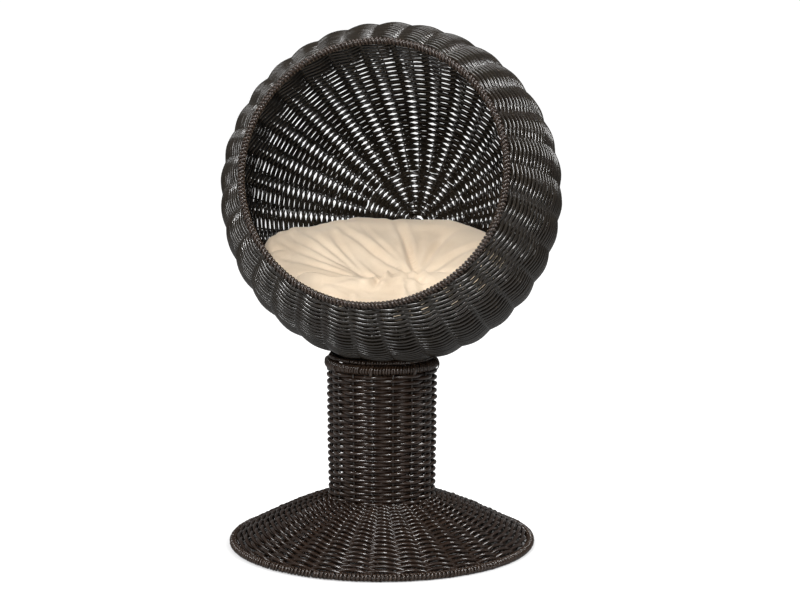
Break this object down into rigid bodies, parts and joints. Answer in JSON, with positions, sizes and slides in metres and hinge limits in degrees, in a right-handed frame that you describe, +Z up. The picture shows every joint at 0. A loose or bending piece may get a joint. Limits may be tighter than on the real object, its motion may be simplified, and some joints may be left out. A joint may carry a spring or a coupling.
{
  "type": "raised wicker pet bed",
  "caption": "Round woven pod with a wide round mouth and a loose cushion, bolted on a woven column with a conical foot, a raised bed for a cat or small dog.",
  "frame": {"origin": "on the floor, under the middle of the whole bed's bounding box", "axes": "+Z up, -Y the way the pod's mouth faces, +X to the right of someone who looks into the mouth"},
  "size_m": [0.4984, 0.4779, 0.7748],
  "materials": {
    "pod_strand": "satin, round synthetic rattan strand, near-black brown",
    "stand_strand": "satin, round synthetic rattan strand, dark espresso brown",
    "painted_wire": "dark powder coat",
    "zinc_steel": "zinc plated",
    "cushion_fabric": "soft short-pile plush, cream beige"
  },
  "bodies": {
    "bed": {"pod_woven_shell": "pod_strand", "pod_rib_wire_01": "painted_wire", "pod_rib_wire_02": "painted_wire", "pod_rib_wire_03": "painted_wire", "pod_rib_wire_04": "painted_wire", "pod_rib_wire_05": "painted_wire", "pod_rib_wire_06": "painted_wire", "pod_rib_wire_07": "painted_wire", "pod_rib_wire_08": "painted_wire", "pod_rib_wire_09": "painted_wire", "pod_rib_wire_10": "painted_wire", "pod_rib_wire_11": "painted_wire", "pod_rib_wire_12": "painted_wire", "pod_rib_wire_13": "painted_wire", "pod_rib_wire_14": "painted_wire", "pod_rib_wire_15": "painted_wire", "pod_rib_wire_16": "painted_wire", "pod_mouth_hoop": "painted_wire", "pod_mouth_whipping": "stand_strand", "pod_back_ring": "painted_wire", "column_woven_sleeve": "stand_strand", "foot_woven_cone": "stand_strand", "stand_stake_wire_01": "painted_wire", "stand_stake_wire_02": "painted_wire", "stand_stake_wire_03": "painted_wire", "stand_stake_wire_04": "painted_wire", "stand_stake_wire_05": "painted_wire", "stand_stake_wire_06": "painted_wire", "stand_stake_wire_07": "painted_wire", "stand_stake_wire_08": "painted_wire", "stand_stake_wire_09": "painted_wire", "stand_stake_wire_10": "painted_wire", "stand_stake_wire_11": "painted_wire", "stand_stake_wire_12": "painted_wire", "stand_stake_wire_13": "painted_wire", "stand_stake_wire_14": "painted_wire", "stand_stake_wire_15": "painted_wire", "stand_stake_wire_16": "painted_wire", "column_top_hoop": "painted_wire", "column_top_whipping": "stand_strand", "foot_rim_hoop": "painted_wire", "foot_rim_whipping": "stand_strand", "column_foot_hoop": "painted_wire", "stand_top_plate": "painted_wire", "pod_clamp_plate": "zinc_steel", "pod_bolt_1": "zinc_steel", "pod_washer_1": "zinc_steel", "pod_nut_1": "zinc_steel", "pod_bolt_2": "zinc_steel", "pod_washer_2": "zinc_steel", "pod_nut_2": "zinc_steel", "pod_bolt_3": "zinc_steel", "pod_washer_3": "zinc_steel", "pod_nut_3": "zinc_steel", "pod_bolt_4": "zinc_steel", "pod_washer_4": "zinc_steel", "pod_nut_4": "zinc_steel"},
    "cushion": {"cushion": "cushion_fabric"}
  },
  "joints": [
    {"name": "cushion_lift", "type": "slide", "parent": "bed", "child": "cushion", "axis": [0.0611, -0.2667, 0.9618], "range_m": [0, 0.1]}
  ]
}
